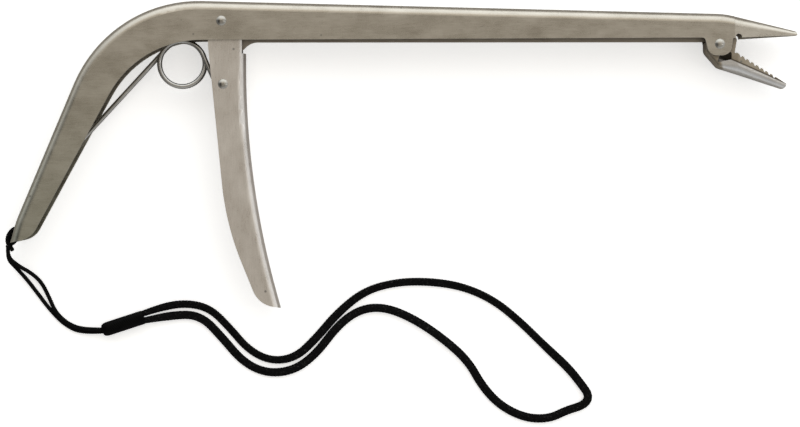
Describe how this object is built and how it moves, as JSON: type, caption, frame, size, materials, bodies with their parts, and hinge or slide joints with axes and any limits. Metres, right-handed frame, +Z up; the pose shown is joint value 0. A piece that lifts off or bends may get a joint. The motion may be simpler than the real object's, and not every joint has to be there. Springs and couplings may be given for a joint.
{
  "type": "pistol-grip hook remover with wrist lanyard",
  "caption": "Long-nosed sheet-metal hook remover and lip grip with squeeze trigger, hinged toothed jaw, coil spring and wrist lanyard.",
  "frame": {"origin": "centre of the footprint on the surface the tool lies on, on its side", "axes": "+X from the lanyard end along the barrel to the jaw tip, +Y from the wrist loop up past the barrel towards its top edge, +Z up out of the surface, square to the tool's flat side"},
  "size_m": [0.2813, 0.1498, 0.0151],
  "materials": {
    "body_steel": "satin",
    "trigger_steel": "satin",
    "jaw_steel": "satin",
    "bar_steel": "satin",
    "rivet_steel": "polished",
    "spring_steel": "polished",
    "washer_steel": "plain",
    "black_cord": "braided",
    "black_braid": "flat braid",
    "black_sleeve": "moulded"
  },
  "bodies": {
    "frame": {"body_frame": "body_steel", "trigger_pivot_rivet": "rivet_steel", "jaw_pivot_rivet": "rivet_steel", "trigger_pivot_bush": "washer_steel", "jaw_pivot_bush": "washer_steel", "trigger_pivot_washers": "washer_steel", "jaw_pivot_washers": "washer_steel", "torsion_spring": "spring_steel", "lanyard_hitch": "black_cord", "lanyard_bight": "black_cord", "loop_cord_upper": "black_cord", "loop_cord_lower": "black_cord", "cord_sleeve": "black_sleeve", "sleeve_crimp": "washer_steel", "wrist_strap": "black_braid"},
    "trigger_lever": {"trigger": "trigger_steel", "spring_post_rivet": "rivet_steel", "spring_post_bush": "washer_steel", "pull_bar_rear_pin": "rivet_steel", "rear_pin_spacers": "washer_steel"},
    "bar": {"pull_bar": "bar_steel"},
    "jaw": {"lower_jaw": "jaw_steel", "pull_bar_front_pin": "rivet_steel", "front_pin_spacers": "washer_steel"}
  },
  "joints": [
    {"name": "trigger_squeeze", "type": "hinge", "parent": "frame", "child": "trigger_lever", "pos_m": [-0.0646, 0.0474, 0.00755], "axis": [0, 0, -1], "range_deg": [0, 20], "stiffness_Nm_per_rad": 0.8, "springref_deg": -20.05, "deforming": ["torsion_spring"]},
    {"name": "pull_bar_pivot", "type": "hinge", "parent": "trigger_lever", "child": "bar", "pos_m": [-0.06335, 0.04034, 0.00755], "axis": [0, 0, 1], "range_deg": [0, 20.2]},
    {"name": "jaw_close", "type": "hinge", "parent": "frame", "child": "jaw", "pos_m": [0.1117, 0.0392, 0.00755], "axis": [0, 0, 1], "range_deg": [0, 34.6]}
  ],
  "couplings": [
    {"joint": "pull_bar_pivot", "follows": "trigger_squeeze", "ratio": 1},
    {"joint": "jaw_close", "follows": "trigger_squeeze", "ratio": 1.725}
  ]
}
